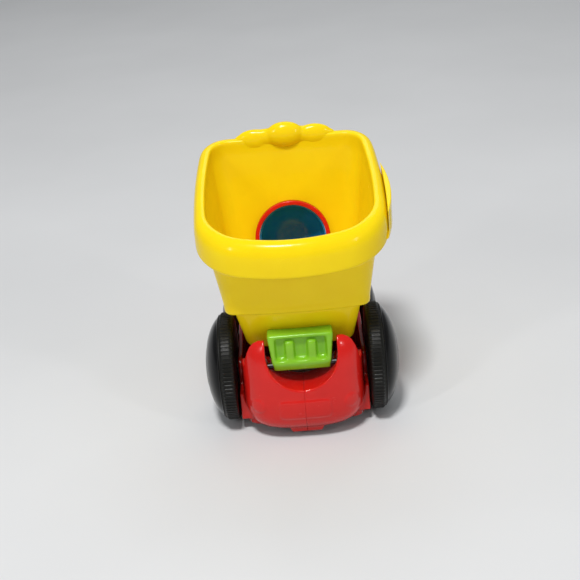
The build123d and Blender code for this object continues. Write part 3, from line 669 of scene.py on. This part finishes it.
def hopper_tub():
    """Closed shell: outside up to the step, then the inside back down to the floor."""
    bottom_z = TUB_LOW.z
    floor_z = bottom_z + WALL
    outer = station(TUB_BOTTOM, bottom_z), station(TUB_TOP, STEP_Z)
    inner = station(WELL, STEP_Z), station(TUB_FLOOR, floor_z)
    loops = [station(inset(TUB_BOTTOM, in_by), bottom_z + up) for in_by, up in TUB_UNDER_EDGE]
    loops += [between(*outer, share) for share in TUB_OUTSIDE_SHARES]
    loops += [between(*inner, share) for share in TUB_INSIDE_SHARES]
    loops += [station(inset(TUB_FLOOR, in_by), floor_z + up) for in_by, up in TUB_FLOOR_EDGE]
    tub = subdivide(skin("hopper_lower", loops, ring=False), 2)
    combine(tub, window_cutter(), "DIFFERENCE")
    return shade(tub, HOPPER_EDGE)


def window_ring():
    """Red bezel with rounded lips and a flange behind the front wall."""
    flange_r = RING_OUTER_R + RING_FLANGE_W
    flange_top = -RING_BACK + RING_FLANGE_THICK
    outline = [(RING_INNER_R, -RING_BACK), (RING_INNER_R, RING_PROUD), (RING_OUTER_R, RING_PROUD),
               (RING_OUTER_R, flange_top), (flange_r, flange_top), (flange_r, -RING_BACK)]
    return shade(revolved("window_bezel", rounded(outline, RING_EDGE_R), 120, window_place()), TURNED_EDGE)


def window_bowl():
    """Blue half ball, hollow towards the hopper, with a thin rounded lip."""
    mouth = RING_PROUD - BOWL_RECESS
    steps = 24

    def arc(radius, outwards):
        angles = [math.pi / 2 * i / steps for i in range(steps + 1)]
        turn = angles if outwards else reversed(angles)
        return [(radius * math.sin(a), mouth - radius * math.cos(a)) for a in turn]

    profile = arc(BOWL_R, True) + arc(BOWL_R - BOWL_WALL, False)
    return shade(revolved("window_bubble", profile, 96, window_place(), closed=False), TURNED_EDGE)


def side_grip():
    return shade(remould(copy_of_nodes("grip_pad", ["side_grip"]), *GRIP_MOULD), MOULDED_EDGE)


def hinge_bracket():
    return shade(remould(copy_of_nodes("tip_bracket", ["hinge_bracket"]), *BRACKET_MOULD), MOULDED_EDGE)


# ---------------------------------------------------------------- red body

def split_at_middle(whole, side, name):
    """One half of the body; its cut edge is eased inwards so that the two halves show a fine seam."""
    bm = bmesh.new()
    bm.from_mesh(whole.data)
    everything = list(bm.verts) + list(bm.edges) + list(bm.faces)
    cut = bmesh.ops.bisect_plane(bm, geom=everything, plane_co=(0, 0, 0), plane_no=(-side, 0, 0),
                                 clear_outer=True, dist=AT_MIDDLE)
    bm.normal_update()
    edge = [item for item in cut["geom_cut"] if isinstance(item, bmesh.types.BMVert)]
    for vert in edge:
        away = Vector((0, vert.normal.y, vert.normal.z))
        vert.co -= away * SEAM_DEPTH * MM
    return make_object(bm, name)


def soften_bonnet(whole):
    """Rounds the creases on the bonnet only; the sills, apron and axle holes keep their shape."""
    bonnet = whole.vertex_groups.new(name="bonnet")
    for vert in whole.data.vertices:
        above = (vert.co.z / MM - BONNET_FROM_Z) / BONNET_FADE
        ahead = (vert.co.y / MM - BONNET_FROM_Y) / BONNET_FADE
        weight = min(1.0, above, ahead)
        if weight > 0:
            bonnet.add([vert.index], weight, "REPLACE")
    add_relax(whole, BONNET_PASSES).vertex_group = bonnet.name
    return apply_modifiers(whole)


def body_halves():
    whole = soften_bonnet(remould(copy_of_nodes("whole_body", ["body_left", "body_right"]), *BODY_MOULD))
    halves = [shade(split_at_middle(whole, side, name), MOULDED_EDGE)
              for side, name in ((-1, "body_half_left"), (1, "body_half_right"))]
    bpy.data.objects.remove(whole)
    return halves


# ---------------------------------------------------------------- wheels

def wheel_axis(side, centre):
    """Local +Z points outwards along the axle."""
    return Matrix.Translation(centre) @ Matrix.Rotation(math.radians(90 * side), 4, "Y")


def wheel_centre(node):
    """The middle of a wheel on the axle's line, and its radius."""
    low, high = box_mm(node)
    return Vector((0.0, (low.y + high.y) / 2, (low.z + high.z) / 2)), (high.z - low.z) / 2


def tread_outline(inner, outer, radius):
    """Section of a tread as (radius, along): a band with rounded shoulders, a dished web and a hub."""
    web = inner + WEB_SET_IN
    outline = [(AXLE_HOLE_R, inner)]
    outline += [(radius - drop, inner + along) for drop, along in INNER_SHOULDER]
    outline += [(radius - drop, outer - along) for drop, along in OUTER_SHOULDER]
    outline += [(radius - BAND_THICK, outer), (radius - BAND_THICK, web + WEB_EASE)]
    outline += [(radius - WEB_OUTER_DROP, web)]
    outline += [(WEB_INNER_R, web), (HUB_R, web + WEB_EASE), (HUB_R, outer), (AXLE_HOLE_R, outer)]
    return outline


def tread(node, name, side):
    """The inner half of a wheel: a band of fine cross ribs on a dished web."""
    low, high = box_mm(node)
    inner, outer = sorted((abs(low.x), abs(high.x)))
    centre, radius = wheel_centre(node)
    outline = tread_outline(inner, outer, radius)
    place = wheel_axis(side, centre)
    bm = bmesh.new()
    rows = []
    for step in range(RIBS * POINTS_PER_RIB):
        angle = 2 * math.pi * step / (RIBS * POINTS_PER_RIB)
        in_groove = step % POINTS_PER_RIB < GROOVE_POINTS
        row = []
        for r, along in outline:
            on_band = r >= radius - RIB_REACH
            r -= RIB_DEPTH if in_groove and on_band else 0.0
            row.append(bm.verts.new(place @ Vector((r * math.cos(angle), r * math.sin(angle), along))))
        rows.append(row)
    for step, row in enumerate(rows):
        following = rows[(step + 1) % len(rows)]
        for i in range(len(outline)):
            j = (i + 1) % len(outline)
            bm.faces.new((row[i], row[j], following[j], following[i]))
    return shade(finish_bmesh(bm, name), TREAD_EDGE)


def cap(node, name, side):
    """The glossy outer half of a wheel: a deep dome with a shallow ring groove round its middle."""
    low, high = box_mm(node)
    inner, outer = sorted((abs(low.x), abs(high.x)))
    centre, _ = wheel_centre(node)
    _, radius = wheel_centre(node.replace("_cap", ""))
    start = inner - DOME_BEHIND

    def dome(along):
        return radius * math.sqrt(max(0.0, 1.0 - ((along - start) / (outer - start)) ** 2))

    outside = []
    for step in range(DOME_STEPS + 1):
        along = inner + (outer - inner) * math.sin(math.pi / 2 * step / DOME_STEPS)
        r = dome(along)
        groove = CAP_GROOVE_DEPTH * math.exp(-((r / radius - CAP_GROOVE_AT) / CAP_GROOVE_W) ** 2)
        outside.append((r, along - groove))
    outside[-1] = (0.0, outer)
    edge = dome(inner)
    inside_r, inside_tall = edge - CAP_WALL, outer - inner - CAP_TOP_WALL
    angles = [math.pi / 2 * i / CAP_INSIDE_STEPS for i in range(CAP_INSIDE_STEPS, 0, -1)]
    inside = [(inside_r * math.cos(angle), inner + inside_tall * math.sin(angle)) for angle in angles]
    lip = [(inside_r, inner)] + [(edge - drop, inner + along) for drop, along in CAP_LIP]
    profile = inside + lip + outside[1:]
    return shade(revolved(name, profile, 128, wheel_axis(side, centre), closed=False), TURNED_EDGE)


def dress_wheels():
    for axle in ("rear", "front"):
        for side, word in ((-1, "left"), (1, "right")):
            body = f"{axle}_axle_set"
            wheel, wheel_cap = f"{axle}_wheel_{word}", f"{axle}_wheel_cap_{word}"
            rubber, dome = materials["wheel_black"], materials["cap_black"]
            stand_for(tread(wheel, f"{axle}_tread_{word}", side), body, "wheel_black", rubber, wheel)
            stand_for(cap(wheel_cap, f"{axle}_dome_{word}", side), body, "cap_black", dome, wheel_cap)


# ---------------------------------------------------------------- putting it together

def dress_hopper():
    yellow = materials["yellow_plastic"]
    stand_for(hopper_shell(), "hopper", "yellow_plastic", yellow, "hopper_shell")
    stand_for(hopper_crest(), "hopper", "yellow_plastic", yellow, "hopper_shell")
    stand_for(hopper_tub(), "hopper", "yellow_plastic", yellow, "hopper_tub")
    stand_for(side_grip(), "hopper", "yellow_plastic", yellow, "side_grip")
    stand_for(window_ring(), "hopper", "red_plastic", materials["red_plastic"], "window_ring")
    stand_for(window_bowl(), "hopper", "blue_plastic", materials["blue_plastic"], "window_bowl")
    stand_for(hinge_bracket(), "hopper", "green_plastic", materials["green_plastic"], "hinge_bracket")


def dress_body():
    for half, node in zip(body_halves(), ("body_left", "body_right")):
        stand_for(half, "chassis", "red_plastic", materials["red_plastic"], node)


def dress_cad_nodes():
    """CAD nodes that stay as they are get the procedural material of their slot."""
    slots = {row["node"]: row["material_slot"] for row in frame["record"]["subparts"]}
    for name, node in nodes.items():
        node.data.materials.clear()
        node.data.materials.append(materials[slots[name]])


# ---------------------------------------------------------------- floor, lights and camera

def make_floor():
    bm = bmesh.new()
    bmesh.ops.create_grid(bm, x_segments=2, y_segments=2, size=4.0)
    floor = make_object(bm, "floor")
    material, tree, shader = new_material("pale_floor")
    tone = ramp(tree, noise(tree, scale=6, detail=3), low=0.3, high=0.7)
    tree.links.new(two_tone(tree, tone, FLOOR_LIGHT, FLOOR_DARK), shader.inputs["Base Color"])
    shader.inputs["Roughness"].default_value = 0.75
    floor.data.materials.append(material)


def area_light(name, place, target, width, height, watts):
    data = bpy.data.lights.new(name, "AREA")
    data.shape = "RECTANGLE"
    data.size = width
    data.size_y = height
    data.energy = watts
    light = bpy.data.objects.new(name, data)
    light.location = place
    light.rotation_euler = (Vector(target) - Vector(place)).to_track_quat("-Z", "Y").to_euler()
    bpy.context.scene.collection.objects.link(light)


def make_lights():
    """A small key lamp high behind the tail, a tall window to each side of it, and a wash on the front."""
    middle = (0.0, -0.01, 0.06)
    area_light("key", (-0.12, -0.52, 1.20), middle, width=0.20, height=0.18, watts=11.0)
    area_light("left_window", (-0.80, -0.80, 0.66), middle, width=0.05, height=0.30, watts=1.7)
    area_light("right_window", (0.86, -0.78, 0.60), middle, width=0.06, height=0.24, watts=1.5)
    area_light("front_wash", (0.10, 0.80, 1.05), middle, width=0.9, height=0.5, watts=2.4)
    world = bpy.data.worlds.new("studio")
    world.use_nodes = True
    back = world.node_tree.nodes["Background"]
    back.inputs["Color"].default_value = (0.94, 0.97, 1.0, 1)
    back.inputs["Strength"].default_value = 0.27
    bpy.context.scene.world = world


def make_camera():
    forward = Vector((math.sin(CAMERA_YAW) * math.cos(CAMERA_PITCH),
                      math.cos(CAMERA_YAW) * math.cos(CAMERA_PITCH),
                      -math.sin(CAMERA_PITCH)))
    level = Vector((math.cos(CAMERA_YAW), -math.sin(CAMERA_YAW), 0))
    upright = level.cross(forward)
    right = level * math.cos(CAMERA_ROLL) - upright * math.sin(CAMERA_ROLL)
    up = level * math.sin(CAMERA_ROLL) + upright * math.cos(CAMERA_ROLL)
    data = bpy.data.cameras.new("camera")
    data.lens = LENS_MM
    data.sensor_width = 36.0
    data.clip_start = 0.01
    camera = bpy.data.objects.new("camera", data)
    axes = Matrix((right, up, -forward)).transposed()
    camera.matrix_world = Matrix.Translation(CAMERA_PLACE) @ axes.to_4x4()
    bpy.context.scene.collection.objects.link(camera)
    bpy.context.scene.camera = camera


def set_look():
    view = bpy.context.scene.view_settings
    view.view_transform = "Standard"
    view.look = "None"


dress_cad_nodes()
dress_hopper()
dress_body()
dress_wheels()
make_floor()
make_lights()
make_camera()
set_look()
